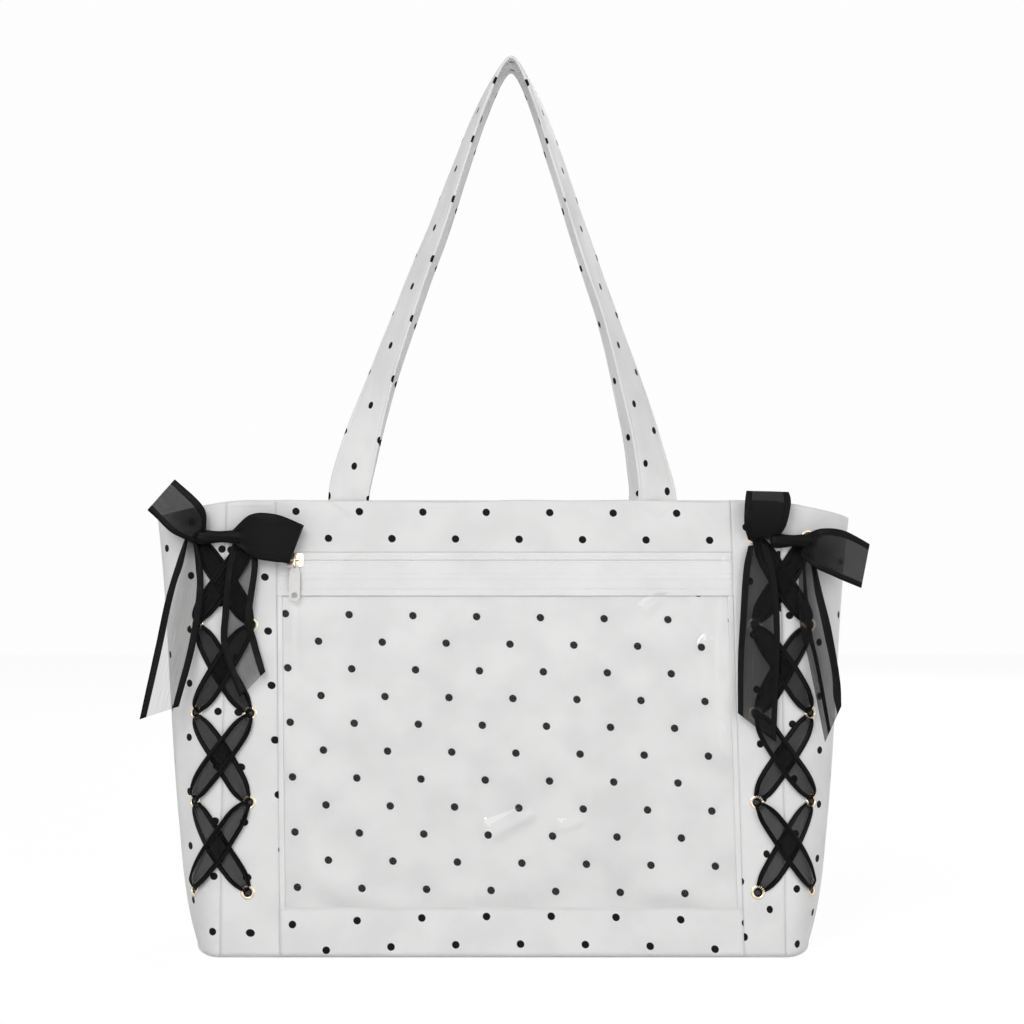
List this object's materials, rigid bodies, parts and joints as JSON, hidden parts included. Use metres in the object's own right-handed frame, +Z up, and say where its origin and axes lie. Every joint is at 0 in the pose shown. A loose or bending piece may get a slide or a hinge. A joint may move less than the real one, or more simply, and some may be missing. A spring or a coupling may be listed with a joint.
{
  "type": "tote bag",
  "caption": "Stiffened polka-dot tote bag with a clear zipped front pocket, corners laced with organza ribbon bows, and two shoulder straps.",
  "frame": {"origin": "on the floor at the middle of the bag's base", "axes": "+Z up, front pocket facing -Y, +X to the right seen from the front"},
  "size_m": [0.4765, 0.1166, 0.5839],
  "materials": {
    "dotted_fabric": "white coated woven fabric with a small black polka-dot print",
    "plain_fabric": "white fabric binding",
    "lining": "plain off-white lining cloth",
    "interlining": "non-woven stiffening",
    "board": "grey board stiffener",
    "clear_film": "clear glossy film",
    "zip_tape": "white woven zip tape",
    "zip_plastic": "white moulded teeth",
    "pale_gold": "pale gold plating",
    "tab_enamel": "white coated pull tab",
    "organza": "sheer black organza with satin edges",
    "strap_fabric": "white folded and edge-stitched strap"
  },
  "bodies": {
    "bag": {"back_interlining": "interlining", "back_lining": "lining", "back_panel": "dotted_fabric", "base_board": "board", "base_lining": "lining", "base_panel": "dotted_fabric", "bow_knot_left": "organza", "bow_knot_right": "organza", "bow_loop_left_inner": "organza", "bow_loop_left_outer": "organza", "bow_loop_right_outer": "organza", "bow_loop_right_upper": "organza", "eyelets_left": "pale_gold", "eyelets_right": "pale_gold", "front_bottom_band": "dotted_fabric", "front_lining": "lining", "front_side_strip_left": "dotted_fabric", "front_side_strip_right": "dotted_fabric", "front_top_band": "dotted_fabric", "gusset_interlining_left": "interlining", "gusset_interlining_right": "interlining", "gusset_left": "dotted_fabric", "gusset_lining_left": "lining", "gusset_lining_right": "lining", "gusset_right": "dotted_fabric", "hem_facing": "dotted_fabric", "hem_stiffener": "interlining", "inner_lacing_left": "organza", "inner_lacing_right": "organza", "lacing_left": "organza", "lacing_right": "organza", "pocket_backing": "dotted_fabric", "pocket_window": "clear_film", "ribbon_tail_left_inner": "organza", "ribbon_tail_left_outer": "organza", "ribbon_tail_right_inner": "organza", "ribbon_tail_right_outer": "organza", "strap_tails_back": "strap_fabric", "strap_tails_front": "strap_fabric", "window_binding": "plain_fabric", "zip_stops": "pale_gold", "zip_tape_lower": "zip_tape", "zip_tape_upper": "zip_tape", "zip_teeth_lower": "zip_plastic", "zip_teeth_upper": "zip_plastic"},
    "zip_slider": {"zip_slider": "pale_gold"},
    "pull_link": {"pull_link": "pale_gold"},
    "pull_tab": {"pull_tab": "tab_enamel"},
    "strap_front": {"strap_front": "strap_fabric"},
    "strap_back": {"strap_back": "strap_fabric"}
  },
  "joints": [
    {"name": "zip_slide", "type": "slide", "parent": "bag", "child": "zip_slider", "axis": [1, 0, 0], "range_m": [0, 0.264]},
    {"name": "pull_swing", "type": "hinge", "parent": "zip_slider", "child": "pull_link", "pos_m": [-0.134, -0.03493, 0.25188], "axis": [-1, 0, 0], "range_deg": [0, 60]},
    {"name": "tab_swing", "type": "hinge", "parent": "pull_link", "child": "pull_tab", "pos_m": [-0.134, -0.03545, 0.24716], "axis": [0, -0.994, 0.1097], "range_deg": [-70, 70]},
    {"name": "strap_front_fold", "type": "hinge", "parent": "bag", "child": "strap_front", "pos_m": [0, -0.025, 0.297], "axis": [1, 0, 0], "range_deg": [0, 140]},
    {"name": "strap_back_fold", "type": "hinge", "parent": "bag", "child": "strap_back", "pos_m": [0, 0.025, 0.297], "axis": [-1, 0, 0], "range_deg": [0, 140]}
  ]
}
